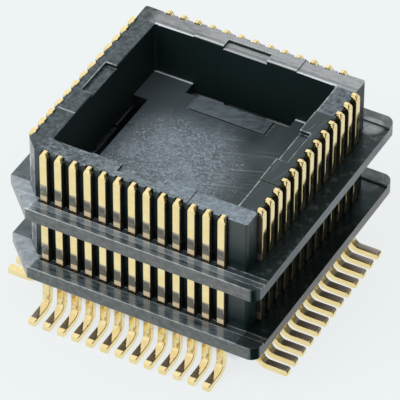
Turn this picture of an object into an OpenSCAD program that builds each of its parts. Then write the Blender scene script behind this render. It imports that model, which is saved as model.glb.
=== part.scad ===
// Male chip-carrier plug on a surface-mount foot: two stacked insulators carry
// one long gull-wing contact for each position on all four sides.
// The feet stand on z = 0, the plug end points up, pin 1 lies at the cut corner (-X, -Y).

/* [Contact rows] */
// Distance from one contact to the next along a side
pitch = 1.27; // [1.0:0.01:2.54]
// Contacts on each side
per_side = 13; // [9:1:14]
// From the axis of the last contact in a row to the outer face of the frame
row_margin = 2.01; // [1.6:0.01:3]

/* [Contact] */
// Width of the contact strip along the row
contact_w = 0.66; // [0.4:0.01:0.8]
// Thickness of the contact strip
contact_t = 0.58; // [0.4:0.01:0.7]
// Depth of the groove that a post lies in
groove_d = 0.18; // [0.05:0.01:0.3]
// How far the tips rise above the rim
tip_rise = 0.15; // [0:0.01:0.5]
// Height of the bevel on the tips
tip_bevel_h = 0.42; // [0.2:0.01:0.8]
// Inset of the bevel on the tips, on the outer face and on both flanks
tip_bevel = 0.15; // [0.05:0.01:0.19]
// Radius inside the gull-wing bend
bend_r = 0.6; // [0.1:0.01:1]
// From the outer face of a post to the end of its foot
foot_reach = 2.3; // [1.6:0.01:3.5]
// Length of the bevel on the end of the foot
foot_bevel_l = 0.16; // [0.05:0.01:0.4]
// Inset of the bevel on the end of the foot, on each of the four sides
foot_bevel = 0.1; // [0.03:0.01:0.19]

/* [Insulator frame] */
// Height of the frame above its flange
frame_h = 4.65; // [3:0.05:8]
// Thickness of the frame walls
wall = 1.68; // [1.3:0.01:3]
// Leg of the cut corner that marks pin 1
frame_chamfer = 1.05; // [0.5:0.05:1.2]
// Radius on the other corners of the frame
frame_corner_r = 0.25; // [0.1:0.05:0.8]
// Radius in the corners of the cavity
cavity_corner_r = 0.3; // [0.1:0.05:1]
// From the corner of the cavity to the raised stretch of the rim and the slot in the floor
corner_land = 3.45; // [2.2:0.05:5]
// How far the raised stretch stands above the rest of the rim
middle_rise = 0.12; // [0.05:0.01:0.3]
// Length of the tool notch in the middle of each wall
notch_l = 3.76; // [2:0.02:6]
// From the cavity face to the back of the tool notch
notch_w = 0.93; // [0.4:0.01:0.95]
// Depth of the tool notch below the raised stretch
notch_d = 0.34; // [0.2:0.01:1]

/* [Insulator flange] */
// How far the flange reaches beyond the frame
flange_reach = 1.87; // [1.4:0.01:3]
// Thickness of the flange and of the cavity floor
flange_t = 0.92; // [0.6:0.01:2]
// Leg of the cut corner of the flange
flange_chamfer = 3.1; // [1.5:0.05:3.3]
// Radius on the other corners of the flange
flange_corner_r = 0.9; // [0.3:0.05:1.4]
// Width of the raised border along the front and back edges
border_w = 1.2; // [0.3:0.05:1.3]
// How far that border stands above the flange
border_rise = 0.2; // [0.05:0.01:0.3]

/* [Cavity floor] */
// Width of the slot along each wall
slot_w = 1.26; // [0.6:0.02:2]
// Length of the raised pad beside the back slot
pad_l = 6.6; // [3:0.1:9]
// Width of that pad
pad_w = 1.7; // [0.8:0.05:3]
// How far that pad stands above the floor
pad_rise = 0.15; // [0.05:0.01:0.3]

/* [Stack] */
// Gap from the board to the underside of the lower flange
board_gap = 4.03; // [2.5:0.01:8]
// Gap between the raised stretch of a rim and the flange above it
seat_gap = 0.21; // [0.05:0.01:0.8]
// Length of each leg of a seating block
seat_l = 2.6; // [1.8:0.05:3]

/* [Fits] */
// Room around a contact in its groove and slot
contact_fit = 0.03; // [0.01:0.01:0.06]

/* [Hidden] */
$fn = 48;
SIDES = ["front", "right", "back", "left"];
row_l = (per_side - 1) * pitch;
frame_half = row_l / 2 + row_margin;
cavity_half = frame_half - wall;
middle_l = 2 * (cavity_half - corner_land);
flange_half = frame_half + flange_reach;
post_in = frame_half - groove_d;
post_out = post_in + contact_t;
foot_end = post_out + foot_reach;
rim_over_base = flange_t + frame_h;
seat_h = middle_rise + seat_gap;
stack_h = rim_over_base + seat_h;
lower_base = board_gap;
upper_base = lower_base + stack_h;
tip_top = upper_base + rim_over_base + tip_rise;
// Spill of a cutter past the face that it opens
spill = 0.5;

function contact_name(side, i) = str("contact_", SIDES[side], i < 9 ? "_0" : "_", i + 1);
function row_x(i) = i * pitch - row_l / 2;

// Turn what is drawn for the front side onto one of the four sides
module on_side(side) {
    rotate([0, 0, 90 * side]) children();
}

module on_all_sides() {
    for (side = [0:3]) on_side(side) children();
}

// What is left over outside a round corner in the +X, +Y quarter
module corner_waste(half, radius) {
    translate([half - radius, half - radius]) difference() {
        square(radius + spill);
        circle(radius);
    }
}

// Square outline with pin 1's corner cut off and the other three corners rounded
module keyed_square(half, chamfer, radius) {
    difference() {
        polygon([
            [chamfer - half, -half], [half, -half], [half, half],
            [-half, half], [-half, chamfer - half]
        ]);
        for (turn = [-90, 0, 90]) rotate(turn) corner_waste(half, radius);
    }
}

// Square outline with four round corners
module round_square(half, radius) {
    difference() {
        square(2 * half, center = true);
        for (turn = [0:90:270]) rotate(turn) corner_waste(half, radius);
    }
}

// Holes for every contact, from the bottom of a groove to just past the post
module contact_holes() {
    hole_w = contact_w + 2 * contact_fit;
    hole_t = contact_t + 2 * contact_fit;
    on_all_sides()
        for (i = [0:per_side - 1])
            translate([row_x(i) - hole_w / 2, -post_out - contact_fit]) square([hole_w, hole_t]);
}

module frame_outline() {
    difference() {
        keyed_square(frame_half, frame_chamfer, frame_corner_r);
        round_square(cavity_half, cavity_corner_r);
        contact_holes();
    }
}

// Band across the middle of each wall, from the cavity out past the frame
module middle_bands() {
    on_all_sides()
        translate([-middle_l / 2, -frame_half - spill])
            square([middle_l, wall + 2 * spill]);
}

module frame_walls() {
    linear_extrude(frame_h) frame_outline();
    translate([0, 0, frame_h]) linear_extrude(middle_rise) intersection() {
        frame_outline();
        middle_bands();
    }
}

// Shallow notches in the rim, open to the cavity, where a tool lifts the plug
module tool_notches() {
    notch_floor = frame_h + middle_rise - notch_d;
    on_all_sides()
        translate([-notch_l / 2, -cavity_half - notch_w, notch_floor])
            cube([notch_l, notch_w + spill, notch_d + spill]);
}

module floor_slots() {
    on_all_sides()
        translate([-middle_l / 2, -cavity_half]) square([middle_l, slot_w]);
}

module flange_outline() {
    keyed_square(flange_half, flange_chamfer, flange_corner_r);
}

module flange_plate() {
    linear_extrude(flange_t) difference() {
        flange_outline();
        contact_holes();
        floor_slots();
    }
    translate([0, 0, flange_t]) linear_extrude(border_rise) difference() {
        intersection() {
            flange_outline();
            for (side = [0, 2])
                on_side(side)
                    translate([-flange_half, -flange_half]) square([2 * flange_half, border_w]);
        }
        contact_holes();
    }
}

// Raised pad on the cavity floor beside the back slot
module floor_pad() {
    translate([-pad_l / 2, cavity_half - slot_w - pad_w, flange_t])
        cube([pad_l, pad_w, pad_rise]);
}

// L-shaped blocks that stand on the rim of the insulator below, one in each corner
module seating_blocks() {
    translate([0, 0, -seat_h]) linear_extrude(seat_h) intersection() {
        frame_outline();
        for (turn = [0:90:270])
            rotate(turn) translate([frame_half - seat_l, frame_half - seat_l]) square(seat_l);
    }
}

// One insulator moulding, standing on the underside of its flange
module insulator() {
    color("#24282c") difference() {
        union() {
            flange_plate();
            translate([0, 0, flange_t]) frame_walls();
            floor_pad();
            seating_blocks();
        }
        translate([0, 0, flange_t]) tool_notches();
    }
}

module upper_housing() {
    translate([0, 0, upper_base]) insulator();
}

module lower_housing() {
    translate([0, 0, lower_base]) insulator();
}

// Side view of a contact: x runs outward from the middle of the plug, y runs up
module contact_side_view() {
    heel_r = bend_r + contact_t;
    bend_x = post_out + bend_r;
    // Post with its bevelled tip
    polygon([
        [post_in, heel_r], [post_out, heel_r],
        [post_out, tip_top - tip_bevel_h], [post_out - tip_bevel, tip_top], [post_in, tip_top]
    ]);
    // Bend from the post into the foot
    intersection() {
        translate([bend_x, heel_r]) difference() {
            circle(heel_r);
            circle(bend_r);
        }
        translate([post_in, 0]) square(heel_r);
    }
    // Foot with its bevelled end
    polygon([
        [bend_x, 0], [foot_end - foot_bevel_l, 0], [foot_end, foot_bevel],
        [foot_end, contact_t - foot_bevel], [foot_end - foot_bevel_l, contact_t], [bend_x, contact_t]
    ]);
}

// Front view of a contact: the strip with the side bevels of its tip
module contact_front_view() {
    half_w = contact_w / 2;
    polygon([
        [-half_w, 0], [half_w, 0], [half_w, tip_top - tip_bevel_h], [half_w - tip_bevel, tip_top],
        [tip_bevel - half_w, tip_top], [-half_w, tip_top - tip_bevel_h]
    ]);
}

// Plan of a contact: the strip with the side bevels of its foot
module contact_plan() {
    half_w = contact_w / 2;
    polygon([
        [-half_w, -post_in], [-half_w, foot_bevel_l - foot_end], [foot_bevel - half_w, -foot_end],
        [half_w - foot_bevel, -foot_end], [half_w, foot_bevel_l - foot_end], [half_w, -post_in]
    ]);
}

// Gull-wing contact of the front side, at the middle of its row
module gull_wing_contact() {
    color("#e2c67a") intersection() {
        rotate([90, 0, -90]) linear_extrude(contact_w, center = true) contact_side_view();
        translate([0, -post_in, 0]) rotate([90, 0, 0]) linear_extrude(foot_end - post_in) contact_front_view();
        linear_extrude(tip_top) contact_plan();
    }
}

module contact(side, i) {
    on_side(side) translate([row_x(i), 0, 0]) gull_wing_contact();
}

upper_housing();
lower_housing();
for (side = [0:3], i = [0:per_side - 1])
    contact(side, i);
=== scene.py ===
"""Looks of a chip-carrier plug: two stacked black mouldings and four rows of gold-plated contacts."""

import logging
import math
from dataclasses import dataclass
from enum import Enum
from typing import Any

import bmesh
import bpy
from mathutils import Matrix, Vector


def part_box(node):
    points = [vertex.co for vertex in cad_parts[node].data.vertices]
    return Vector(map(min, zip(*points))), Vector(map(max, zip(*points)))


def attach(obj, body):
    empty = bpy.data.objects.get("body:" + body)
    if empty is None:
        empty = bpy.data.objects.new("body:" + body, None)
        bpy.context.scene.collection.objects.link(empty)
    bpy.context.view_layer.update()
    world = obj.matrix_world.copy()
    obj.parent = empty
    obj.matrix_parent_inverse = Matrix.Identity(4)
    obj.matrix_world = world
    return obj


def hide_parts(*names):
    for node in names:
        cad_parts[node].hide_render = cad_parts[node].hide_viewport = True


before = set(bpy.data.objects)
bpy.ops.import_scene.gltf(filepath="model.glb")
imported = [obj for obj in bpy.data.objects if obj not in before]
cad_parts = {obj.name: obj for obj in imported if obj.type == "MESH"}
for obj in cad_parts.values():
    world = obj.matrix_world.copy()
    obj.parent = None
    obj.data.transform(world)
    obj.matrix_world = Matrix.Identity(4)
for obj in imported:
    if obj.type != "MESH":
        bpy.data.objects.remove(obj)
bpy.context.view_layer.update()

MM = 0.001
BODY = "root"
QUARTER_TURN = math.pi / 2
NOISE_MEAN = 0.5
FACE_WEIGHT = 100
Colour = tuple[float, float, float]
Span = tuple[float, float]
# Width, in millimetres, over which a mark ends at an edge
EDGE_BLEND = 0.05
# How far the normal of a face points up, or straight out for a face that is square on
FLAT_TOP: Span = (0.8, 0.95)
TOP: Span = (0.55, 0.85)
TOP_AND_EDGE: Span = (0.3, 0.6)
LEVEL_NORMAL: Span = (0.15, 0.45)
SQUARE_ON: Span = (0.9, 0.98)
log = logging.getLogger("plug")


class Side(Enum):
    """The four sides of the plug, as quarter turns from the front."""

    FRONT = 0
    RIGHT = 1
    BACK = 2
    LEFT = 3


class Slot(Enum):
    """Material slots of the record."""

    PLASTIC = "black_plastic"
    GOLD = "gold_plating"


class Wire:
    """Output of a node, used as a value in Python expressions."""

    def __init__(self, sheet: "NodeSheet", socket: bpy.types.NodeSocket) -> None:
        """Hold a socket and the sheet that it is on."""
        self.sheet = sheet
        self.socket = socket

    def __add__(self, other: "Value") -> "Wire":
        """Sum of two values."""
        return self.sheet.math("ADD", self, other)

    def __sub__(self, other: "Value") -> "Wire":
        """Difference of two values."""
        return self.sheet.math("SUBTRACT", self, other)

    def __rsub__(self, other: "Value") -> "Wire":
        """Difference with the number first."""
        return self.sheet.math("SUBTRACT", other, self)

    def __mul__(self, other: "Value") -> "Wire":
        """Product of two values."""
        return self.sheet.math("MULTIPLY", self, other)

    def __truediv__(self, other: "Value") -> "Wire":
        """Quotient of two values."""
        return self.sheet.math("DIVIDE", self, other)

    def __rtruediv__(self, other: "Value") -> "Wire":
        """Quotient with the number first."""
        return self.sheet.math("DIVIDE", other, self)

    def __abs__(self) -> "Wire":
        """Value without its sign."""
        return self.sheet.math("ABSOLUTE", self, 0.0)

    def __neg__(self) -> "Wire":
        """Value with its sign turned."""
        return self.sheet.math("MULTIPLY", self, -1.0)

    def high(self, other: "Value") -> "Wire":
        """Larger of two values."""
        return self.sheet.math("MAXIMUM", self, other)

    def low(self, other: "Value") -> "Wire":
        """Smaller of two values."""
        return self.sheet.math("MINIMUM", self, other)

    def rise(self, start: float, end: float) -> "Wire":
        """Smooth step from 0 at start to 1 at end."""
        return self.sheet.step(self, start, end, 0.0, 1.0)

    def fall(self, start: float, end: float) -> "Wire":
        """Smooth step from 1 at start to 0 at end."""
        return self.sheet.step(self, start, end, 1.0, 0.0)

    def within(self, start: float, end: float, soft: float) -> "Wire":
        """1 between start and end, and 0 further out than soft."""
        return self.rise(start - soft, start) * self.fall(end, end + soft)

    def past(self, edge: float, blend: float = EDGE_BLEND) -> "Wire":
        """0 up to an edge, and 1 from the blend beyond it on."""
        return self.rise(edge, edge + blend)

    def before(self, edge: float, blend: float = EDGE_BLEND) -> "Wire":
        """1 up to an edge, and 0 from the blend beyond it on."""
        return self.fall(edge, edge + blend)

    __radd__ = __add__
    __rmul__ = __mul__


Value = Wire | float


class NodeSheet:
    """Node tree of a material or a world, filled by expressions."""

    def __init__(self, tree: bpy.types.NodeTree) -> None:
        """Take over a node tree and empty it."""
        self.tree = tree
        self.tree.nodes.clear()

    def node(
        self,
        kind: str,
        settings: dict[str, Any] | None = None,
        inputs: dict[str | int, Any] | None = None,
    ) -> bpy.types.Node:
        """Add a node.

        Args:
            kind: Type name of the node.
            settings: Properties of the node, set first.
            inputs: Wires or values for its sockets, by name or number.

        Returns:
            The new node.
        """
        node = self.tree.nodes.new(kind)
        for key, value in (settings or {}).items():
            setattr(node, key, value)
        for key, value in (inputs or {}).items():
            self.connect(node.inputs[key], value)
        return node

    def connect(self, socket: bpy.types.NodeSocket, value: Any) -> None:
        """Link a wire to a socket, or set the socket's own value.

        Args:
            socket: Input of a node.
            value: Wire, output socket, number, vector or colour.
        """
        if isinstance(value, Wire):
            self.tree.links.new(value.socket, socket)
        elif isinstance(value, bpy.types.NodeSocket):
            self.tree.links.new(value, socket)
        elif socket.type == "RGBA":
            socket.default_value = (*value, 1.0)
        else:
            socket.default_value = value

    def wire(self, node: bpy.types.Node, output: str | int = 0) -> Wire:
        """Output of a node as a wire."""
        return Wire(self, node.outputs[output])

    def math(self, operation: str, first: Value, second: Value) -> Wire:
        """Math node on two values."""
        return self.wire(self.node("ShaderNodeMath", {"operation": operation}, {0: first, 1: second}))

    def step(self, value: Wire, start: float, end: float, first: float, last: float) -> Wire:
        """Smooth step of a value.

        Args:
            value: What is stepped.
            start: Value at which the step begins.
            end: Value at which the step is over.
            first: Result up to start.
            last: Result from end on.

        Returns:
            The stepped value.
        """
        values = {"Value": value, "From Min": start, "From Max": end, "To Min": first, "To Max": last}
        return self.wire(self.node("ShaderNodeMapRange", {"interpolation_type": "SMOOTHSTEP"}, values))

    def mix(self, share: Value, first: Wire | Colour, second: Wire | Colour) -> Wire:
        """Colour that goes from the first to the second as share goes from 0 to 1."""
        node = self.node("ShaderNodeMix", {"data_type": "RGBA"}, {0: share, 6: first, 7: second})
        return self.wire(node, 2)

    def blend(self, share: Wire, first: bpy.types.Node, second: bpy.types.Node) -> bpy.types.Node:
        """Shader that goes from the first to the second as share goes from 0 to 1."""
        inputs = {0: share, 1: first.outputs[0], 2: second.outputs[0]}
        return self.node("ShaderNodeMixShader", None, inputs)

    def vector(self, operation: str, first: Wire, second: Any) -> Wire:
        """Vector Math node on two vectors."""
        return self.wire(self.node("ShaderNodeVectorMath", {"operation": operation}, {0: first, 1: second}))

    def noise(self, point: Wire, scale: float, detail: float, roughness: float) -> Wire:
        """Noise from 0 to 1.

        Args:
            point: Place to look up.
            scale: Grains per millimetre.
            detail: Octaves.
            roughness: Weight of the finer octaves.

        Returns:
            The noise value.
        """
        values = {"Vector": point, "Scale": scale, "Detail": detail, "Roughness": roughness}
        return self.wire(self.node("ShaderNodeTexNoise", None, values), "Fac")

    def ripple(self, point: Wire, scale: float, detail: float, roughness: float) -> Wire:
        """The same noise, around 0."""
        return self.noise(point, scale, detail, roughness) - NOISE_MEAN

    def bump(self, height: Wire, depth: float) -> Wire:
        """Normal bent by a height field.

        Args:
            height: Height from 0 to 1.
            depth: Depth of the relief in millimetres.

        Returns:
            The bent normal.
        """
        return self.wire(self.node("ShaderNodeBump", None, {"Height": height, "Distance": depth * MM}))


class SurfacePlace:
    """Where a point of a surface lies, in millimetres, and which way it faces.

    Reach and inset are the larger and the smaller of its distances from the two middle planes.
    """

    def __init__(self, sheet: NodeSheet) -> None:
        """Read place and normal in the plug's own frame.

        Args:
            sheet: Sheet of the material.
        """
        coords = sheet.node("ShaderNodeTexCoord")
        metres = sheet.wire(coords, "Object")
        self.sheet = sheet
        self.point = sheet.vector("MULTIPLY", metres, (1 / MM, 1 / MM, 1 / MM))
        spot = sheet.node("ShaderNodeSeparateXYZ", None, {0: self.point})
        self.x, self.y, self.z = (sheet.wire(spot, axis) for axis in "XYZ")
        self.reach = abs(self.x).high(abs(self.y))
        self.inset = abs(self.x).low(abs(self.y))
        facing = sheet.node("ShaderNodeSeparateXYZ", None, {0: sheet.wire(coords, "Normal")})
        self.nx, self.ny, self.nz = (sheet.wire(facing, axis) for axis in "XYZ")

    def apart(self, middle: Span, reach: Span) -> Wire:
        """Square of the distance from a middle, 1 where it comes to the reach in X or Y."""
        across, along = (self.x - middle[0]) / reach[0], (self.y - middle[1]) / reach[1]
        return across * across + along * along

    def stretched(self, along: float, across: float, turn: float) -> Wire:
        """Point for streaky noise on level faces.

        Args:
            along: Scale along the streaks.
            across: Scale across them.
            turn: Direction of the streaks, in degrees from X.

        Returns:
            The point, turned and scaled.
        """
        turned = self.sheet.node(
            "ShaderNodeVectorRotate",
            {"rotation_type": "Z_AXIS"},
            {"Vector": self.point, "Angle": -math.radians(turn)},
        )
        return self.sheet.vector("MULTIPLY", self.sheet.wire(turned), (along, across, across))


def new_sheet(name: str) -> tuple[bpy.types.Material, NodeSheet]:
    """Make an empty material.

    Args:
        name: Name of the material.

    Returns:
        The material and the sheet of its nodes.
    """
    material = bpy.data.materials.new(name)
    material.use_nodes = True
    return material, NodeSheet(material.node_tree)


def show_surface(sheet: NodeSheet, shader: bpy.types.Node) -> None:
    """Send a shader to the output of its tree.

    Args:
        sheet: Sheet of a material or of the world.
        shader: Node whose first output is shown.
    """
    of_material = sheet.tree.id_data.name in bpy.data.materials
    output = "ShaderNodeOutputMaterial" if of_material else "ShaderNodeOutputWorld"
    sheet.node(output, None, {"Surface": shader.outputs[0]})


@dataclass(frozen=True)
class Mottle:
    """Share of a finish that noise makes uneven."""

    mean: float
    stray: float

    def by(self, noise: Wire) -> Wire:
        """Share where the noise has a given value."""
        return self.mean + self.stray * noise


@dataclass(frozen=True)
class Ramp:
    """Share of a finish that is gained from one place to another."""

    gain: float
    start: float
    end: float

    def along(self, value: Wire) -> Wire:
        """Share gained up to a place."""
        return self.gain * value.rise(self.start, self.end)


@dataclass(frozen=True)
class MouldingForm:
    """What a finish follows on one insulator; lengths in millimetres.

    The base is the height of the flange's underside. Wear is 1 on a moulding that is handled, and 0 on one
    that another one covers.
    """

    base: float
    wear: float
    flange_half: float
    frame_half: float = 9.63
    frame_cut: float = 1.05
    cavity_half: float = 7.95
    middle_half: float = 4.5
    border_in: float = 10.3
    strip_middle: float = 10.85
    strip_from: Span = (-8.4, -8.2)
    notch_half: float = 1.88
    notch_w: float = 0.93
    row_half: float = 8.0
    rim_h: float = 5.57
    floor_limit: Span = (1.4, 1.6)
    rim_limit: Span = (4.9, 5.0)

    def by_wear(self, levels: Span) -> float:
        """Level for this moulding, from those of a covered and of a handled one."""
        covered, handled = levels
        return covered + (handled - covered) * self.wear

    def height(self, place: SurfacePlace) -> Wire:
        """Height above the flange's underside."""
        return place.z - self.base

    def near_floor(self, place: SurfacePlace) -> Wire:
        """1 up to the tops of the flange and of the cavity floor."""
        return self.height(place).fall(*self.floor_limit)

    def near_rim(self, place: SurfacePlace) -> Wire:
        """1 at the rim of the frame and in its notches."""
        return self.height(place).rise(*self.rim_limit)

    def past_cut_corner(self, place: SurfacePlace) -> Wire:
        """1 outside the frame's cut corner, over the flange."""
        return (-place.x - place.y).past(2 * self.frame_half - self.frame_cut - EDGE_BLEND)


@dataclass(frozen=True)
class FrostedFloor:
    """Haze of the cavity floor: a speckled patch left of the middle, a pale pad, a veil and scratches."""

    patch_middle: Span = (-1.4, -2.4)
    patch_reach: Span = (5.4, 6.2)
    patch_limit: Span = (0.2, 1.7)
    patch_least: float = 0.1
    speckle: Mottle = Mottle(0.24, 8.0)
    pad: Mottle = Mottle(0.16, 0.8)
    pad_front: Span = (4.9, 5.0)
    pad_side: Span = (3.4, 3.6)
    left_veil: float = 0.2
    left_limit: Span = (0.0, 5.0)
    far_veil: Ramp = Ramp(0.17, 2.5, 4.5)
    far_limit: Span = (1.0, 4.0)
    scratched: Ramp = Ramp(0.4, -1.0, 1.5)
    scratch_limit: Span = (0.6, 0.68)
    scratch_reach: Span = (-2.5, 3.0)
    scratch_blend: float = 1.0
    even: float = 0.02

    def haze(self, place: SurfacePlace) -> Wire:
        """Share of haze.

        Args:
            place: Place on the surface.

        Returns:
            The share, for the floor alone.
        """
        sheet, x, y = place.sheet, place.x, place.y
        flow = place.stretched(along=1.1, across=3.6, turn=29.0)
        rubs = place.stretched(along=0.2, across=6.0, turn=20.0)
        grains = sheet.ripple(place.point, scale=5.5, detail=3.0, roughness=0.7)
        streaks = sheet.ripple(flow, scale=1.0, detail=4.0, roughness=0.7)
        clouds = sheet.ripple(place.point, scale=0.6, detail=2.0, roughness=0.5)
        scratches = sheet.noise(rubs, scale=1.0, detail=2.0, roughness=0.5).rise(*self.scratch_limit)
        ragged = 1.8 * streaks + 1.5 * clouds + 1.2 * grains
        patch = (place.apart(self.patch_middle, self.patch_reach) + ragged).fall(*self.patch_limit)
        frost = self.speckle.by(grains.high(0.0)) + 1.5 * streaks + 1.1 * clouds
        pad = y.rise(*self.pad_front) * abs(x).fall(*self.pad_side)
        return (
            patch * frost.high(self.patch_least)
            + pad * self.pad.by(streaks)
            + self.left_veil * x.fall(*self.left_limit)
            + self.far_veil.along(x) * y.rise(*self.far_limit)
            + self.scratched.along(x) * scratches * y.within(*self.scratch_reach, self.scratch_blend)
            + self.even
        )


@dataclass(frozen=True)
class HazyRims:
    """Haze of the rim: pale behind, blotched in front and mottled at the sides."""

    form: MouldingForm
    wall_blend: float = 0.1
    back: Mottle = Mottle(0.64, 1.3)
    back_end: Span = (-8.8, -7.8)
    back_gain: Ramp = Ramp(0.26, -4.5, -3.0)
    shade_inset: Span = (0.3, 0.45)
    shade_blend: float = 0.12
    shade_depth: float = 0.4
    front: Mottle = Mottle(0.15, 2.5)
    front_end: Span = (-8.9, -8.2)
    front_least: float = 0.06
    front_gain: Ramp = Ramp(0.23, -5.0, -2.0)
    right_gain: Ramp = Ramp(0.2, 0.0, 5.0)
    blotch_gain: float = 0.4
    blotch_limit: Span = (-5.0, -2.0)
    left: Mottle = Mottle(0.1, 0.9)
    right: Mottle = Mottle(0.24, 1.6)
    right_from: Span = (4.4, 4.6)
    scratch_level: float = 0.15
    scratch_limit: Span = (0.6, 0.7)
    even: float = 0.05

    def haze(self, place: SurfacePlace) -> Wire:
        """Share of haze.

        Args:
            place: Place on the surface.

        Returns:
            The share, for the rim alone.
        """
        sheet, x, y = place.sheet, place.x, place.y
        grain = place.stretched(along=1.2, across=5.0, turn=0.0)
        rubs = place.stretched(along=0.5, across=7.0, turn=80.0)
        streaks = sheet.ripple(grain, scale=1.0, detail=3.0, roughness=0.6)
        spots = sheet.ripple(place.point, scale=2.6, detail=4.0, roughness=0.65)
        flecks = sheet.ripple(place.point, scale=5.0, detail=3.0, roughness=0.7).high(0.0)
        scratches = sheet.noise(rubs, scale=1.0, detail=2.0, roughness=0.5).rise(*self.scratch_limit)
        inner = self.form.cavity_half
        wall = (inner - self.wall_blend, inner + self.wall_blend)
        back = y.rise(*wall) * x.rise(*self.back_end)
        front = (-y).rise(*wall) * x.rise(*self.front_end)
        left = (-x).rise(*wall) * (1.0 - front)
        right = x.rise(*wall) * y.rise(*self.right_from) * (1.0 - back)
        # Painted shade along the inner edge of the back rim.
        shade = y.within(inner + self.shade_inset[0], inner + self.shade_inset[1], self.shade_blend)
        blotches = (1.4 * streaks + 1.2 * spots) * (1.0 + self.blotch_gain * x.fall(*self.blotch_limit))
        ahead = self.front.by(flecks) + self.front_gain.along(x) + self.right_gain.along(x) + blotches
        return (
            back * (self.back.by(streaks) + self.back_gain.along(x)) * (1.0 - self.shade_depth * shade)
            + front * ahead.high(self.front_least)
            + left * self.left.by(spots).high(0.0)
            + right * self.right.by(spots).high(0.0)
            + self.scratch_level * scratches
            + self.even
        )


@dataclass(frozen=True)
class HazyFlange:
    """Haze of the flange's top: chalky cut corner, front strip, far patch, back border and left edge.

    Levels in pairs are for a covered and for a handled moulding.
    """

    form: MouldingForm
    key: Mottle = Mottle(0.96, 1.2)
    key_x: Span = (8.1, 8.25)
    key_y: Span = (8.3, 8.4)
    key_ragged: float = 0.5
    inner: Span = (0.3, 0.6)
    outer: float = 0.28
    strip_waves: float = 1.4
    strip_fade: Ramp = Ramp(0.6, 8.0, 9.5)
    recess_level: float = 0.1
    left: float = 0.3
    left_end: Span = (-6.0, 0.0)
    patch: Mottle = Mottle(1.0, 2.4)
    patch_middle: Span = (10.05, 10.0)
    patch_reach: Span = (1.05, 1.05)
    patch_limit: Span = (0.1, 1.25)
    patch_end: Span = (10.6, 10.85)
    patch_level: Span = (0.1, 1.0)
    back: Span = (0.22, 0.34)
    mottle: float = 0.8
    speck_from: Span = (9.8, 10.8)
    speck_least: float = 0.03
    speck_level: Span = (0.8, 1.8)
    even: float = 0.03

    def haze(self, place: SurfacePlace) -> Wire:
        """Share of haze.

        Args:
            place: Place on the surface.

        Returns:
            The share, for the flange's top alone.
        """
        sheet, form, x, y = place.sheet, self.form, place.x, place.y
        grain = place.stretched(along=0.9, across=3.2, turn=0.0)
        waves = self.strip_waves * sheet.ripple(grain, scale=1.0, detail=4.0, roughness=0.65)
        cloud = sheet.ripple(place.point, scale=1.1, detail=4.0, roughness=0.65)
        ragged = self.key_ragged * sheet.ripple(place.point, scale=2.2, detail=3.0, roughness=0.6)
        keyed = (ragged - x).rise(*self.key_x) * (-y).rise(*self.key_y)
        inner = (-y).within(form.border_in - EDGE_BLEND, form.strip_middle, EDGE_BLEND)
        outer = (-y).past(form.strip_middle)
        strip = inner * (form.by_wear(self.inner) + waves) + outer * (self.outer + waves)
        recess = (-y).within(form.frame_half, form.border_in - 2 * EDGE_BLEND, EDGE_BLEND)
        left = (-x).past(form.frame_half, 2 * EDGE_BLEND) * y.fall(*self.left_end)
        far = self.far_patch(place)
        back = y.past(form.border_in - EDGE_BLEND, 2 * EDGE_BLEND) * (1.0 - far)
        specks = x.rise(*self.speck_from) * (cloud - self.speck_least).high(0.0)
        return (
            keyed * self.key.by(cloud)
            + strip * (1.0 - keyed) * (1.0 - self.strip_fade.along(x))
            + left * (self.left + self.mottle * cloud) * (1.0 - keyed)
            + far * self.patch.by(cloud) * form.by_wear(self.patch_level)
            + back * (form.by_wear(self.back) + self.mottle * cloud)
            + specks * form.by_wear(self.speck_level)
            + self.recess_level * recess
            + self.even
        )

    def far_patch(self, place: SurfacePlace) -> Wire:
        """1 in the middle of the frosted patch in the flange's far corner, short of its back edge."""
        patch = place.apart(self.patch_middle, self.patch_reach).fall(*self.patch_limit)
        return patch * place.y.fall(*self.patch_end)


@dataclass(frozen=True)
class PaleSides:
    """Haze of upright faces: the flange's edge, the frame's corners, and painted light on the steps of the
    rim.

    Levels in pairs are for a covered and for a handled moulding.
    """

    form: MouldingForm
    edge_inset: Span = (0.6, 0.5)
    front: Span = (0.195, 0.245)
    front_mottle: float = 0.36
    right: Span = (0.73, 0.58)
    right_mottle: float = 0.6
    right_gain: Ramp = Ramp(0.15, -8.0, 8.0)
    far_gain: float = 0.3
    far_from: Span = (9.0, 10.5)
    far_turn: Span = (0.2, 0.6)
    corner: Ramp = Ramp(0.12, 7.9, 8.3)
    corner_height: Span = (1.5, 5.0)
    step_painted_light: float = 0.4
    step_rise: float = 0.03
    step_inset: float = 0.2

    def haze(self, place: SurfacePlace) -> Wire:
        """Share of haze.

        Args:
            place: Place on the surface.

        Returns:
            The share, for upright faces alone.
        """
        form, height = self.form, self.form.height(place)
        wide = place.sheet.vector("MULTIPLY", place.point, (0.8, 0.8, 4.0))
        cloud = place.sheet.ripple(wide, scale=1.0, detail=4.0, roughness=0.65)
        edge = place.reach.rise(form.flange_half - self.edge_inset[0], form.flange_half - self.edge_inset[1])
        far = place.y.rise(*self.far_from)
        front = abs(place.ny).rise(*SQUARE_ON) * edge
        right = place.nx.rise(*SQUARE_ON).high(far * place.nx.rise(*self.far_turn)) * edge
        gain = self.right_gain.along(place.y) + self.far_gain * far + self.right_mottle * cloud
        stepped = place.reach.fall(form.frame_half - self.step_inset, form.frame_half)
        return (
            front * (form.by_wear(self.front) + self.front_mottle * cloud)
            + right * (form.by_wear(self.right) + gain)
            + self.corner.along(place.inset) * height.rise(*self.corner_height)
            # Painted light that hides the shade on the small steps of the rim.
            + self.step_painted_light * height.past(form.rim_h, self.step_rise) * stepped
        )


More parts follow.
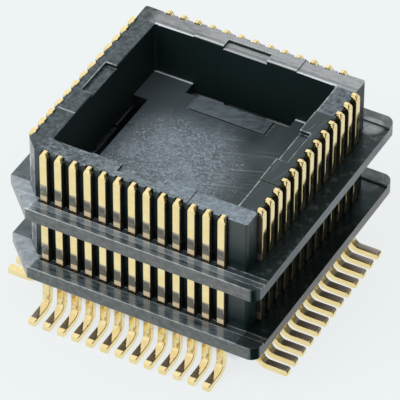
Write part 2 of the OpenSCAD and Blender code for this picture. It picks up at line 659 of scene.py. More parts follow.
@dataclass(frozen=True)
class WearAndPaintedHighlights:
    """Pale marks, partly wear and partly painted highlights and light: cut corner, edges of the rim, notches
    and edges of the flange.

    Levels in pairs are for a covered and for a handled moulding.
    """

    form: MouldingForm
    blend: float = 0.03
    thin: float = 0.02
    worn_mean: float = 0.2
    rubs: float = 1.2
    cut: Mottle = Mottle(0.2, 0.9)
    cut_turn: Span = (1.2, 1.35)
    cut_left: Ramp = Ramp(0.4, 0.1, 1.0)
    cut_from: Span = (1.2, 1.4)
    key: Mottle = Mottle(0.3, 1.4)
    key_x: Span = (8.1, 8.3)
    key_y: Span = (8.3, 8.4)
    line: Mottle = Mottle(1.0, 0.8)
    line_level: float = 0.65
    corner_gain: float = 0.35
    notch_loss: float = 0.35
    rim_line_w: float = 0.15
    foot_line_w: float = 0.16
    right_line_w: float = 0.1
    right_line_level: float = 1.6
    step_inset: Span = (0.05, 0.2)
    step_line_w: float = 0.03
    step_line_level: float = 0.7
    notch_line: Span = (0.05, 0.06)
    notch_level: float = 1.8
    front_edge: Mottle = Mottle(0.3, 1.2)
    front_edge_inset: Span = (0.14, 0.08)
    edge_face_inset: Span = (0.3, 0.2)
    edge_face_level: float = 0.3
    border: Span = (0.25, 0.45)
    border_rubs: float = 0.9
    border_line: Span = (0.06, 0.1)
    border_height: Span = (0.95, 1.2)
    back_loss: Ramp = Ramp(0.85, 0.0, 1.0)
    strip_line_w: float = 0.07
    seam_w: float = 0.1

    def wear_and_highlight(self, place: SurfacePlace) -> Wire:
        """Share of pale wear and painted highlight.

        Args:
            place: Place on the surface.

        Returns:
            The share, from 0 to 1.
        """
        cloud = place.sheet.ripple(place.point, scale=2.0, detail=3.0, roughness=0.6)
        worn = (cloud + self.worn_mean).high(0.0)
        up = place.nz.rise(*TOP_AND_EDGE)
        handled = self.rim_lines(place, up, cloud, worn) + self.flange_lines(place) * up * self.rubs * worn
        always = self.cut_faces(place, up, cloud) + self.edge_lines(place, up, worn)
        return (always + handled * self.form.wear).high(0.0).low(1.0)

    def cut_faces(self, place: SurfacePlace, up: Wire, cloud: Wire) -> Wire:
        """Painted light on the faces of the cut corner, which face the lamp, and pale marks on the flange
        before it.

        Args:
            place: Place on the surface.
            up: 1 where the surface faces up.
            cloud: Noise around 0.

        Returns:
            The share of chalk.
        """
        left = self.cut_left.along(place.y - place.x) * self.form.height(place).rise(*self.cut_from)
        faces = (-place.nx - place.ny).rise(*self.cut_turn) * (self.cut.by(cloud) + left)
        keyed = (-place.x).rise(*self.key_x) * (-place.y).rise(*self.key_y)
        return faces + keyed * self.form.past_cut_corner(place) * up * self.key.by(cloud)

    def edge_lines(self, place: SurfacePlace, up: Wire, worn: Wire) -> Wire:
        """Painted highlights, partly wear, on the flange's front edge, on the walls of its borders and along
        the foot of the frame.

        Args:
            place: Place on the surface.
            up: 1 where the surface faces up.
            worn: How much a place is rubbed.

        Returns:
            The share of chalk.
        """
        form, front = self.form, -place.y
        edge = front.rise(*(form.flange_half - inset for inset in self.front_edge_inset)) * up
        face = front.rise(*(form.flange_half - inset for inset in self.edge_face_inset))
        face = face * (-place.ny).rise(*SQUARE_ON)
        before, after = self.border_line
        border = abs(place.y).within(form.border_in - before, form.border_in + after, self.thin)
        border = border * form.height(place).within(*self.border_height, self.blend)
        border = border * place.x.rise(*form.strip_from) * (1.0 - self.back_loss.along(place.y))
        seam = front.within(form.frame_half, form.frame_half + self.seam_w, self.blend)
        return (
            edge * self.front_edge.by(worn)
            + face * self.edge_face_level * worn
            + border * (form.by_wear(self.border) + self.border_rubs * worn)
            + seam * form.near_floor(place) * up * self.rubs * worn
        )

    def rim_lines(self, place: SurfacePlace, up: Wire, cloud: Wire, worn: Wire) -> Wire:
        """Painted highlights, partly wear, along the back and right walls, round the notches and on the left
        wall's step.

        Args:
            place: Place on the surface.
            up: 1 where the surface faces up.
            cloud: Noise around 0.
            worn: How much a place is rubbed.

        Returns:
            The share of wear and painted highlight.
        """
        form, inner, rim = self.form, self.form.cavity_half, self.form.near_rim(place)
        across, along = (abs(value).before(inner - self.thin, self.thin) for value in (place.x, place.y))
        level = self.line_level + self.corner_gain * abs(place.x).within(form.middle_half, inner, EDGE_BLEND)
        level = level - self.notch_loss * abs(place.x).before(form.notch_half)
        rim_line = place.y.within(inner, inner + self.rim_line_w, self.blend) * rim
        foot_line = place.y.within(inner - self.foot_line_w, inner, self.blend) * form.near_floor(place)
        right_line = place.x.within(inner, inner + self.right_line_w, self.blend) * along
        step_in, step_out = inner + self.step_inset[0], form.frame_half - self.step_inset[1]
        step = (-place.y).within(form.middle_half, form.middle_half + self.step_line_w, self.thin)
        step = step * (-place.x).within(step_in, step_out, EDGE_BLEND)
        rubbed = self.right_line_level * right_line + self.notch_level * self.notch_outline(place)
        return (
            (rim_line + foot_line) * across * level * up * self.line.by(cloud)
            + rubbed * up * rim * worn
            + step * rim * self.step_line_level
        )

    def notch_outline(self, place: SurfacePlace) -> Wire:
        """Find the edges of the tool notches.

        Args:
            place: Place on the surface.

        Returns:
            1 along them.
        """
        half, back, thin = self.form.notch_half, self.form.cavity_half + self.form.notch_w, self.thin
        inside, outside = self.notch_line
        ends = place.inset.within(half - inside, half + outside, thin) * place.reach.before(back, thin)
        rear = place.reach.within(back - thin, back + outside, thin) * place.inset.before(half, thin)
        return ends.high(rear) * place.reach.past(self.form.cavity_half - thin, thin)

    def flange_lines(self, place: SurfacePlace) -> Wire:
        """Find the middle line of the front strip and the patch in the far corner.

        Args:
            place: Place on the surface.

        Returns:
            1 in both.
        """
        form, start = self.form, self.form.strip_middle
        strip = (-place.y).within(start, start + self.strip_line_w, self.blend)
        strip = strip * place.x.rise(*form.strip_from)
        return (strip + HazyFlange(form).far_patch(place)) * form.near_floor(place)


@dataclass(frozen=True)
class MouldedPlastic:
    """Black moulded plastic with the pale haze that rough tool faces and rubbed edges leave, painted
    highlights on its edges and cut corner, and painted shade between the contacts and right of the frame.

    Levels in pairs are for a covered and for a handled moulding.
    """

    name: str
    form: MouldingForm
    black: Colour = (0.003, 0.0105, 0.0112)
    haze: Colour = (0.27, 0.325, 0.37)
    side_haze: Colour = (0.30, 0.29, 0.27)
    back_haze: Colour = (0.36, 0.375, 0.39)
    wear_and_highlight: Colour = (0.66, 0.70, 0.73)
    shine: Colour = (0.84, 0.97, 1.0)
    index: float = 1.5
    film_index: float = 2.4
    gloss: float = 0.16
    cloudy: float = 0.1
    frosted: float = 0.45
    relief: float = 0.004
    edge_highlight_level: float = 0.3
    right_neutral: Span = (0.85, 0.4)
    outer_matt: float = 0.35
    strip_matt: float = 0.25
    strip_painted_shade: Span = (0.65, 0.3)
    groove_painted_shade: float = 0.85
    groove_depth: float = 0.4
    groove_end: Span = (4.9, 5.4)

    def build(self) -> bpy.types.Material:
        """Make the material.

        Returns:
            The plastic, dressed for a moulding that stands at its base height.
        """
        material, sheet = new_sheet(self.name)
        place = SurfacePlace(sheet)
        haze, film, strip = self.haze_share(place), self.film(place), self.right_strip(place)
        matt = (haze * (1.0 - film)).high(self.frame_wall(place)).high(self.strip_matt * strip)
        # Painted shade: turning the black plastic metallic darkens the frame's faces between the contacts
        # and the flange right of the frame.
        painted_shade = self.groove_painted_shade * self.groove_wall(place) + self.form.by_wear(self.strip_painted_shade) * strip
        grain = sheet.noise(place.point, scale=9.0, detail=3.0, roughness=0.6)
        cloud = sheet.ripple(place.point, scale=0.9, detail=3.0, roughness=0.55)
        hazy = sheet.mix(haze, self.black, self.haze_colour(place))
        shader = sheet.node(
            "ShaderNodeBsdfPrincipled",
            None,
            {
                "Base Color": sheet.mix(WearAndPaintedHighlights(self.form).wear_and_highlight(place), hazy, self.wear_and_highlight),
                "Roughness": self.gloss + self.cloudy * cloud + self.frosted * matt,
                "Metallic": painted_shade,
                "IOR": self.index,
                "Specular Tint": self.shine,
                "Coat Weight": film,
                "Coat Roughness": self.gloss,
                "Coat IOR": self.film_index,
                "Normal": sheet.bump(grain, self.relief),
            },
        )
        show_surface(sheet, shader)
        return material

    def haze_colour(self, place: SurfacePlace) -> Wire:
        """Colour of the haze: neutral on upright faces, pale on the tops behind the cavity.

        Args:
            place: Place on the surface.

        Returns:
            The colour.
        """
        behind = place.y.past(self.form.cavity_half, 2 * EDGE_BLEND) * place.nz.rise(*TOP_AND_EDGE)
        right = self.form.by_wear(self.right_neutral) * place.nx.rise(*SQUARE_ON)
        neutral = abs(place.ny).rise(*SQUARE_ON).high(right)
        return place.sheet.mix(behind, place.sheet.mix(neutral, self.haze, self.side_haze), self.back_haze)

    def haze_share(self, place: SurfacePlace) -> Wire:
        """Share of haze over black plastic.

        Args:
            place: Place on the surface.

        Returns:
            The share, up to 1.
        """
        form = self.form
        up, upright = place.nz.rise(*TOP), abs(place.nz).fall(*LEVEL_NORMAL)
        low_top = up * form.near_floor(place)
        in_cavity = place.reach.before(form.cavity_half - EDGE_BLEND)
        outside = place.reach.past(form.frame_half).high(form.past_cut_corner(place))
        return (
            FrostedFloor().haze(place) * in_cavity * low_top
            + HazyRims(form).haze(place) * up * form.near_rim(place)
            + HazyFlange(form).haze(place) * outside * low_top
            + PaleSides(form).haze(place) * upright
            # Painted highlight, partly wear, on the eased edges between tops and upright faces.
            + self.edge_highlight_level * (1.0 - up) * (1.0 - upright)
        ).low(1.0)

    def film(self, place: SurfacePlace) -> Wire:
        """1 under the thin glossy film on the front strip of the flange."""
        strip = (-place.y).past(self.form.frame_half, 2 * EDGE_BLEND) * place.x.rise(*self.form.strip_from)
        return strip * place.nz.rise(*FLAT_TOP)

    def right_strip(self, place: SurfacePlace) -> Wire:
        """1 on the top of the flange right of the frame, which hardly shines and takes painted shade."""
        strip = place.x.past(self.form.frame_half, 2 * EDGE_BLEND) * place.nz.rise(*FLAT_TOP)
        return strip * self.form.near_floor(place)

    def frame_wall(self, place: SurfacePlace) -> Wire:
        """How matt the upright faces of the frame are: most in the cavity, less outside.

        Args:
            place: Place on the surface.

        Returns:
            The share of matt, 0 off those faces.
        """
        wall = place.reach.before(self.form.frame_half + EDGE_BLEND, 2 * EDGE_BLEND)
        in_cavity = place.reach.before(self.form.cavity_half + 2 * EDGE_BLEND, 4 * EDGE_BLEND)
        matt = self.outer_matt + (1.0 - self.outer_matt) * in_cavity
        return abs(place.nz).fall(*TOP_AND_EDGE) * wall * matt

    def groove_wall(self, place: SurfacePlace) -> Wire:
        """Find the outer faces of the frame between the contacts, which are painted black as shade.

        Args:
            place: Place on the surface.

        Returns:
            1 on those faces.
        """
        form, face = self.form, self.form.frame_half
        wall = place.reach.within(face - self.groove_depth, face + EDGE_BLEND, EDGE_BLEND)
        rows = place.inset.before(form.row_half, 2 * EDGE_BLEND) * form.height(place).fall(*self.groove_end)
        return abs(place.nz).fall(*TOP_AND_EDGE) * wall * rows


@dataclass(frozen=True)
class GoldPlating:
    """Gold plate over a stamped strip: draw lines, painted shade on the flanks in the grooves, amber stains
    round the bends and on the front feet, and painted reflections on the posts and the tops of the feet.

    Lengths are in millimetres. The leans push the normal aside where the strip is bent a little.
    """

    name: str = "gold_plating_finish"
    pale: Colour = (0.98, 0.83, 0.46)
    deep: Colour = (0.94, 0.76, 0.37)
    amber: Colour = (0.62, 0.40, 0.15)
    reflection_peach: Colour = (0.62, 0.49, 0.33)
    reflection_slate: Colour = (0.28, 0.285, 0.32)
    painted_dark_reflection: Colour = (0.47, 0.41, 0.40)
    painted_shade: Colour = (0.13, 0.105, 0.1)
    gloss: Mottle = Mottle(0.05, 0.08)
    flank_and_foot_roughness: float = 0.4
    draw_depth: float = 0.0015
    pale_limit: Span = (0.35, 0.7)
    flare_lean: float = 0.36
    toe_lean: float = 0.55
    twist_lean: Mottle = Mottle(0.75, 2.0)
    twist_stain: float = 0.3
    facing: Span = (0.8, 0.95)
    flared_ends: tuple[Span, Span] = ((4.0, 5.55), (10.0, 11.45))
    painted_reflection_bands: tuple[Span, Span] = ((5.75, 6.65), (11.65, 12.55))
    reflection_band_level: float = 0.75
    band_blend: float = 0.15
    stain_level: float = 0.7
    stain_limit: Span = (0.48, 0.68)
    bend_top: Span = (1.6, 3.0)
    bend_foot: Span = (0.4, 0.9)
    flank_shade: Ramp = Ramp(0.85, 0.35, 0.75)
    flank_from: Span = (3.7, 4.0)
    flank_to: Span = (15.05, 15.25)
    side_blend: float = 0.2
    foot_h: float = 0.58
    top_limit: Span = (0.05, 0.15)
    bend_limit: Span = (0.1, 0.3)
    round_top: Span = (0.5, 0.8)
    level_top: Span = (0.85, 0.97)
    foot_reflection_level: float = 0.9
    foot_reflection_sides: Span = (9.0, 9.6)
    toe_from: Span = (11.85, 12.0)
    pitch: float = 1.27
    lead_in: float = 10.5
    bend_out: float = 10.7
    slant: float = 0.52
    slant_shift: float = 0.15
    slant_blend: float = 0.06
    twist_reach: Span = (9.8, 11.85)
    twist_blend: float = 0.1

    def build(self) -> bpy.types.Material:
        """Make the material.

        Returns:
            The plating.
        """
        material, sheet = new_sheet(self.name)
        place = SurfacePlace(sheet)
        drawn = sheet.vector("MULTIPLY", place.point, (14.0, 14.0, 0.8))
        draw_lines = sheet.noise(drawn, scale=1.0, detail=2.0, roughness=0.5)
        cloud = sheet.noise(place.point, scale=1.4, detail=3.0, roughness=0.6)
        flank_shade, foot_reflection = self.painted_flank_shade(place), self.painted_foot_reflection(place)
        stains = self.stains(place).high(self.twist_stain * self.twisted_share(place))
        plate = sheet.mix(cloud.rise(*self.pale_limit), self.deep, self.pale)
        # Amber stains round the bends, and a painted peach reflection on the lower ends of the posts.
        stains_and_reflection = sheet.mix(self.flared_end(place), sheet.mix(stains, plate, self.amber), self.reflection_peach)
        # Painted reflection: grey bands on the front and back posts above each flange stand in for the dark
        # flange mirrored in them.
        with_painted_reflection = sheet.mix(self.reflection_band_level * self.on_posts(place, self.painted_reflection_bands), stains_and_reflection, self.reflection_slate)
        shader = sheet.node(
            "ShaderNodeBsdfPrincipled",
            None,
            {
                "Base Color": sheet.mix(flank_shade, sheet.mix(foot_reflection, with_painted_reflection, self.painted_dark_reflection), self.painted_shade),
                "Metallic": 1.0,
                "Roughness": self.gloss.by(cloud) + self.flank_and_foot_roughness * flank_shade.high(foot_reflection),
                "Normal": self.leaning(place, sheet.bump(draw_lines, self.draw_depth)),
            },
        )
        show_surface(sheet, shader)
        return material

    def leaning(self, place: SurfacePlace, normal: Wire) -> Wire:
        """Lean the normals where the strip is bent: up on the flared ends of the posts, out on the feet.

        Args:
            place: Place on the surface.
            normal: Normal without the lean.

        Returns:
            The leaning normal.
        """
        sheet = place.sheet
        mottle = sheet.ripple(place.point, scale=3.2, detail=3.0, roughness=0.6)
        lean = self.toe_lean * self.toe(place) + self.twist_lean.by(mottle) * self.twisted_share(place)
        outward = sheet.math("SIGN", place.y, 0.0) * lean
        upward = self.flare_lean * self.flared_end(place)
        push = sheet.wire(sheet.node("ShaderNodeCombineXYZ", None, {"Y": outward, "Z": upward}))
        return sheet.vector("NORMALIZE", sheet.vector("ADD", normal, push), (0.0, 0.0, 0.0))

    def on_posts(self, place: SurfacePlace, bands: tuple[Span, Span]) -> Wire:
        """1 on the front and back posts within one of two bands of height."""
        lower, upper = (place.z.within(*band, self.band_blend) for band in bands)
        return abs(place.ny).rise(*self.facing) * (lower + upper)

    def flared_end(self, place: SurfacePlace) -> Wire:
        """1 on the lower ends of the front and back posts, which lean out above each flange and take a
        painted peach reflection.
        """
        return self.on_posts(place, self.flared_ends)

    def stains(self, place: SurfacePlace) -> Wire:
        """Share of amber stains round the bends."""
        spots = place.sheet.noise(place.point, scale=1.9, detail=3.0, roughness=0.6).rise(*self.stain_limit)
        return self.stain_level * spots * place.z.fall(*self.bend_top) * place.z.rise(*self.bend_foot)

    def painted_flank_shade(self, place: SurfacePlace) -> Wire:
        """Share of painted shade, with a rougher finish, on the flanks of the posts, which face the
        neighbouring posts.

        Args:
            place: Place on the surface.

        Returns:
            The share.
        """
        # Painted shade: the flanks sit in the narrow grooves between neighbouring posts.
        sideways = (abs(place.x) - abs(place.y)).rise(-self.side_blend, self.side_blend)
        across = sideways * abs(place.ny) + (1.0 - sideways) * abs(place.nx)
        return self.flank_shade.along(across) * place.z.rise(*self.flank_from) * place.z.fall(*self.flank_to)

    def near_foot(self, place: SurfacePlace, limits: Span) -> Wire:
        """1 up to the first limit above the tops of the feet, and 0 from the second on."""
        return (place.z - self.foot_h).fall(*limits)

    def painted_foot_reflection(self, place: SurfacePlace) -> Wire:
        """Share of painted dark reflection, with a rougher finish, on the tops of the right feet, and of the
        front feet up to the toe, which stands in for the flange's dark underside mirrored there.

        Args:
            place: Place on the surface.

        Returns:
            The share.
        """
        # Painted reflection: only the feet on the front and right get it.
        top = place.nz.rise(*self.level_top) * self.near_foot(place, self.top_limit)
        sides = (-place.x).high(place.y).fall(*self.foot_reflection_sides) * (-place.y).fall(*self.toe_from)
        return self.foot_reflection_level * top * sides * (1.0 - self.twisted_share(place))

    def toe(self, place: SurfacePlace) -> Wire:
        """1 on the tops of the toes of the front and back feet."""
        top = place.nz.rise(*self.round_top) * self.near_foot(place, self.top_limit)
        return abs(place.y).rise(*self.toe_from) * top

    def twisted_share(self, place: SurfacePlace) -> Wire:
        """Find the tops of the front feet, right of a line that slants from the bend to the toe.

        Args:
            place: Place on the surface.

        Returns:
            1 on that part of the tops.
        """
        start = self.pitch * self.lead_in
        across = place.sheet.math("MODULO", place.x + start, self.pitch) - self.pitch / 2
        past_line = across + self.slant_shift + self.slant * (place.y + self.bend_out)
        top = place.nz.rise(*self.round_top) * self.near_foot(place, self.bend_limit)
        along = (-place.y).within(*self.twist_reach, self.twist_blend)
        return past_line.rise(-self.slant_blend, self.slant_blend) * top * along


@dataclass(frozen=True)
class FloorPaper:
    """Pale paper that the plug stands on, almost without shadow for the camera, with a painted shadow right
    of the plug that only reflections show; lengths in millimetres.
    """

    name: str = "floor_paper"
    white: Colour = (0.862, 0.897, 0.907)
    glow: float = 0.88
    shaded: Span = (6.0, 8.5)
    reflected_shadow: Colour = (0.02, 0.02, 0.02)
    reflected_shadow_reach: Span = (13.0, 21.8)
    reflected_shadow_blend: float = 0.5
    gap_reach: Span = (16.8, 18.8)
    gap_blend: float = 0.3
    gap_from: Span = (4.5, 5.8)

    def build(self) -> bpy.types.Material:
        """Make the material.

        Returns:
            The paper.
        """
        material, sheet = new_sheet(self.name)
        place = SurfacePlace(sheet)
        matt = sheet.node("ShaderNodeBsdfDiffuse", None, {"Color": self.white})
        lit = sheet.node("ShaderNodeEmission", None, {"Color": self.white})
        reflected_shadow = sheet.node("ShaderNodeBsdfDiffuse", None, {"Color": self.reflected_shadow})
        paper = sheet.blend(seen_rays(sheet) * self.glow * place.reach.rise(*self.shaded), matt, lit)
        show_surface(sheet, sheet.blend(self.reflected_shadow_share(place), paper, reflected_shadow))
        return material

    def reflected_shadow_share(self, place: SurfacePlace) -> Wire:
        """Find the painted shadow right of the plug, a dark patch of the floor that only reflections show.

        Args:
            place: Place on the surface.

        Returns:
            1 on the painted shadow, for reflected rays.
        """
        mirrored = place.sheet.wire(place.sheet.node("ShaderNodeLightPath"), "Is Glossy Ray")
        gap = place.x.within(*self.gap_reach, self.gap_blend) * place.y.rise(*self.gap_from)
        return mirrored * place.x.within(*self.reflected_shadow_reach, self.reflected_shadow_blend) * (1.0 - gap)


def seen_rays(sheet: NodeSheet) -> Wire:
    """Find the rays that the camera sends, straight or by way of gloss or glass.

    Args:
        sheet: Sheet of a material or of the world.

    Returns:
        1 for those rays.
    """
    rays = sheet.node("ShaderNodeLightPath")
    camera, glossy, through = (
        sheet.wire(rays, f"Is {kind} Ray") for kind in ("Camera", "Glossy", "Transmission")
    )
    return camera.high(glossy).high(through)


def add_piece(name: str, mesh: bpy.types.Mesh, finish: bpy.types.Material) -> bpy.types.Object:
    """Put a piece of the plug in the scene.

    Args:
        name: Name of the piece.
        mesh: Its mesh.
        finish: Its material.

    Returns:
        The new object, riding on the plug's body.
    """
    piece = bpy.data.objects.new(name, mesh)
    bpy.context.scene.collection.objects.link(piece)
    mesh.materials.clear()
    mesh.materials.append(finish)
    normals = piece.modifiers.new("even_normals", "WEIGHTED_NORMAL")
    normals.mode = "FACE_AREA"
    normals.weight = FACE_WEIGHT
    normals.keep_sharp = True
    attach(piece, BODY)
    return piece


@dataclass
class Insulator:
    """One black moulding with its edges eased; lengths in millimetres, angles in degrees."""

    node: str
    piece: str
    wear: float
    height: float = 5.69
    edge_round: float = 0.06
    edge_steps: int = 3
    sharp: float = 30.0
    crease: float = 40.0
    shortest_edge: float = 0.3
    weld: float = 0.002
    flat: float = 1.0
    round_profile: float = 0.5

    def finish(self) -> MouldedPlastic:
        """Choose the plastic, told where the flange of this moulding begins and ends.

        Returns:
            The finish.
        """
        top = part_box(self.node)[1] / MM
        form = MouldingForm(top.z - self.height, self.wear, top.x)
        return MouldedPlastic(f"{self.piece}_plastic", form)

    def mesh(self) -> bpy.types.Mesh:
        """Copy the node's solid with its long outer edges rounded.

        Returns:
            The new mesh.
        """
        solid = bmesh.new()
        solid.from_mesh(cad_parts[self.node].data)
        bmesh.ops.remove_doubles(solid, verts=solid.verts, dist=self.weld * MM)
        flat = math.radians(self.flat)
        bmesh.ops.dissolve_limit(solid, angle_limit=flat, verts=solid.verts, edges=solid.edges)
        bmesh.ops.bevel(
            solid,
            geom=[edge for edge in solid.edges if self.is_eased(edge)],
            offset=self.edge_round * MM,
            segments=self.edge_steps,
            profile=self.round_profile,
            affect="EDGES",
            clamp_overlap=False,
        )
        bmesh.ops.recalc_face_normals(solid, faces=solid.faces)
        for edge in solid.edges:
            edge.smooth = edge.calc_face_angle(0.0) < math.radians(self.crease)
        for face in solid.faces:
            face.smooth = True
        mesh = bpy.data.meshes.new(self.piece)
        solid.to_mesh(mesh)
        solid.free()
        return mesh

    def is_eased(self, edge: bmesh.types.BMEdge) -> bool:
        """Tell whether an edge of the solid is one that the tool leaves round.

        Args:
            edge: Edge of the solid.

        Returns:
            True for a long, sharp edge that points outward.
        """
        if len(edge.link_faces) != 2 or not edge.is_convex:
            return False
        is_sharp = edge.calc_face_angle() > math.radians(self.sharp)
        return is_sharp and edge.calc_length() > self.shortest_edge * MM

    def build(self) -> bpy.types.Object:
        """Make the piece.

        Returns:
            The moulding, standing for its node.
        """
        piece = add_piece(self.piece, self.mesh(), self.finish().build())
        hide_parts(self.node)
        return piece


@dataclass(frozen=True)
class Station:
    """One section of a contact strip, in the plane of its side view."""

    out: float
    up: float
    turn: float
    half_w: float
    half_t: float


@dataclass
class ContactRow:
    """The gull-wing contacts of one side, each swept as one strip; lengths in millimetres."""

    side: Side
    per_side: int = 13
    pitch: float = 1.27
    width: float = 0.66
    thickness: float = 0.58
    post_in: float = 9.45
    bend_r: float = 0.6
    tip_bevel_h: float = 0.42
    tip_bevel: float = 0.15
    tip_curve: float = 1.5
    foot_bevel_l: float = 0.16
    foot_bevel: float = 0.1
    edge_round: float = 0.08
    most_round: float = 0.6
    end_round: float = 0.06
    corner_steps: int = 5
    end_steps: int = 5
    tip_steps: int = 5
    bend_steps: int = 16

    def node(self, place: int) -> str:
        """Name of the node of one contact."""
        return f"contact_{self.side.name.lower()}_{place + 1:02d}"

    def build(self, finish: bpy.types.Material) -> list[bpy.types.Object]:
        """Make the contacts.

        Args:
            finish: Material of the contacts.

        Returns:
            The contacts, each standing for its node.
        """
        stations = self.stations()
        pieces = []
        for place in range(self.per_side):
            node = self.node(place)
            along = (place - (self.per_side - 1) / 2) * self.pitch
            piece = add_piece(f"{node}_strip", self.mesh(node, stations, along), finish)
            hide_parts(node)
            pieces.append(piece)
        return pieces

    def stations(self) -> list[Station]:
        """Sections from the tip of the post to the end of the foot.

        Returns:
            The stations in order.
        """
        low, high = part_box(self.node(0))
        tip = high.z / MM
        end = max(-low.y, high.x, high.y, -low.x) / MM
        half_w, half_t = self.width / 2, self.thickness / 2
        middle = self.post_in + half_t
        heel = self.bend_r + self.thickness
        bend_out = self.post_in + heel
        found = []
        for step in range(self.end_steps + 1):
            angle = QUARTER_TURN * step / self.end_steps
            inset = self.end_round * (1 - math.sin(angle))
            up = tip - self.end_round * (1 - math.cos(angle))
            tip_w, tip_t = half_w - self.tip_bevel - inset, half_t - self.tip_bevel / 2 - inset
            found.append(Station(middle - self.tip_bevel / 2, up, 0.0, tip_w, tip_t))
        for step in range(1, self.tip_steps + 1):
            along = step / self.tip_steps
            inset = self.tip_bevel * (1 - along) ** self.tip_curve
            up = tip - self.end_round - (self.tip_bevel_h - self.end_round) * along
            found.append(Station(middle - inset / 2, up, 0.0, half_w - inset, half_t - inset / 2))
        for step in range(self.bend_steps + 1):
            turn = QUARTER_TURN * step / self.bend_steps
            radius = self.bend_r + half_t
            out, up = bend_out - radius * math.cos(turn), heel - radius * math.sin(turn)
            found.append(Station(out, up, turn, half_w, half_t))
        for step in range(self.end_steps + 1):
            angle = QUARTER_TURN * step / self.end_steps
            inset = self.foot_bevel * (1 - math.cos(angle))
            out = end - self.foot_bevel_l * (1 - math.sin(angle))
            found.append(Station(out, half_t, QUARTER_TURN, half_w - inset, half_t - inset))
        return found

    def mesh(self, name: str, stations: list[Station], along: float) -> bpy.types.Mesh:
        """Sweep one contact.

        Args:
            name: Name of the mesh.
            stations: Sections of the strip.
            along: Place of the contact in its row, in millimetres.

        Returns:
            The new mesh.
        """
        strip = bmesh.new()
        rings = [[strip.verts.new(point) for point in self.ring(station, along)] for station in stations]
        for ring, following in zip(rings, rings[1:]):
            for k in range(len(ring)):
                after = (k + 1) % len(ring)
                strip.faces.new((ring[k], following[k], following[after], ring[after]))
        strip.faces.new(rings[0])
        strip.faces.new(reversed(rings[-1]))
        bmesh.ops.recalc_face_normals(strip, faces=strip.faces)
        mesh = bpy.data.meshes.new(f"{name}_strip")
        strip.to_mesh(mesh)
        strip.free()
        mesh.shade_smooth()
        mesh.transform(Matrix.Rotation(QUARTER_TURN * self.side.value, 4, "Z"))
        return mesh

    def ring(self, station: Station, along: float) -> list[Vector]:
        """Points round one section, with its four corners rounded.

        Args:
            station: The section.
            along: Place of the contact in its row, in millimetres.

        Returns:
            The points in metres, for the front side.
        """
        radius = min(self.edge_round, self.most_round * station.half_w, self.most_round * station.half_t)
        points = []
        for corner in range(4):
            start = QUARTER_TURN * corner
            side_w = 1 if corner in (0, 3) else -1
            side_t = 1 if corner in (0, 1) else -1
            for step in range(self.corner_steps + 1):
                angle = start + QUARTER_TURN * step / self.corner_steps
                across = side_w * (station.half_w - radius) + radius * math.cos(angle)
                through = side_t * (station.half_t - radius) + radius * math.sin(angle)
                out = station.out + through * math.cos(station.turn)
                up = station.up + through * math.sin(station.turn)
                points.append(Vector((along + across, -out, up)) * MM)
        return points


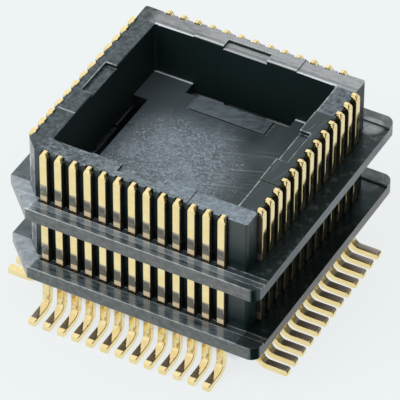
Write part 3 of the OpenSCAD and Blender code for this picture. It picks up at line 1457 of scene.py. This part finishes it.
@dataclass
class Studio:
    """Paper floor, white surroundings and a soft lamp; lengths in metres, power in watts."""

    floor_half: float = 0.25
    floor_drop: float = 0.02 * MM
    surround: float = 0.8
    right_side: float = 0.15
    right_turn: Span = (0.0, 0.3)
    key_power: float = 1.6
    key_size: float = 0.35
    key_place: tuple[float, float, float] = (-0.25, -0.35, 0.5)

    def build(self) -> None:
        """Make floor, world and lamp."""
        self.floor()
        self.world()
        self.lamp()

    def floor(self) -> None:
        """Lay the paper."""
        sheet = bmesh.new()
        bmesh.ops.create_grid(sheet, x_segments=1, y_segments=1, size=self.floor_half)
        mesh = bpy.data.meshes.new("floor")
        sheet.to_mesh(mesh)
        sheet.free()
        mesh.materials.append(FloorPaper().build())
        floor = bpy.data.objects.new("floor", mesh)
        floor.location.z = -self.floor_drop
        bpy.context.scene.collection.objects.link(floor)

    def world(self) -> None:
        """Surround the plug with white, dimmer as a lamp than to the eye; gloss shows its right side dim."""
        world = bpy.data.worlds.new("white_room")
        world.use_nodes = True
        sheet = NodeSheet(world.node_tree)
        coords = sheet.node("ShaderNodeTexCoord")
        aim = sheet.node("ShaderNodeSeparateXYZ", None, {0: sheet.wire(coords, "Generated")})
        camera = sheet.wire(sheet.node("ShaderNodeLightPath"), "Is Camera Ray")
        right = sheet.wire(aim, "X").rise(*self.right_turn)
        level = (1.0 - (1.0 - self.right_side) * right).high(camera)
        eye = seen_rays(sheet)
        strength = level * eye + self.surround * (1.0 - eye)
        white = sheet.node("ShaderNodeBackground", None, {"Color": (1.0, 1.0, 1.0), "Strength": strength})
        show_surface(sheet, white)
        bpy.context.scene.world = world

    def lamp(self) -> None:
        """Hang a square soft lamp that points at the plug and that gloss doesn't show."""
        data = bpy.data.lights.new("key_lamp", "AREA")
        data.size = self.key_size
        data.energy = self.key_power
        lamp = bpy.data.objects.new("key_lamp", data)
        lamp.location = self.key_place
        lamp.rotation_euler = (-Vector(self.key_place)).to_track_quat("-Z", "Y").to_euler()
        lamp.visible_glossy = False
        bpy.context.scene.collection.objects.link(lamp)


@dataclass
class PhotoCamera:
    """Camera at the photograph's angle; lengths in millimetres, angles in degrees."""

    azimuth: float = 28.402
    elevation: float = 40.966
    roll: float = 0.264
    aim: tuple[float, float, float] = (0.591, -0.308, 7.165)
    distance: float = 349.56
    lens: float = 407.91
    nearest: float = 10.0

    def build(self) -> None:
        """Place the camera and make it the scene's own."""
        data = bpy.data.cameras.new("photo_camera")
        data.lens = self.lens
        data.clip_start = self.nearest * MM
        camera = bpy.data.objects.new("photo_camera", data)
        turn = Matrix.Rotation(math.radians(self.azimuth), 4, "Z")
        tilt = Matrix.Rotation(math.radians(90 - self.elevation), 4, "X")
        roll = Matrix.Rotation(math.radians(self.roll), 4, "Z")
        back = Matrix.Translation((0, 0, self.distance * MM))
        camera.matrix_world = Matrix.Translation(Vector(self.aim) * MM) @ turn @ tilt @ roll @ back
        bpy.context.scene.collection.objects.link(camera)
        bpy.context.scene.camera = camera


def main() -> None:
    """Build camera, studio and plug, and report each piece."""
    logging.basicConfig(level=logging.INFO, format="%(message)s")
    bpy.context.scene.view_settings.view_transform = "Standard"
    PhotoCamera().build()
    Studio().build()
    pieces = [
        Insulator("upper_housing", "upper_insulator", wear=1.0).build(),
        Insulator("lower_housing", "lower_insulator", wear=0.0).build(),
    ]
    gold = GoldPlating().build()
    for side in Side:
        pieces += ContactRow(side).build(gold)
    for piece in pieces:
        log.info("%s: %d faces", piece.name, len(piece.data.polygons))


if __name__ == "__main__":
    main()
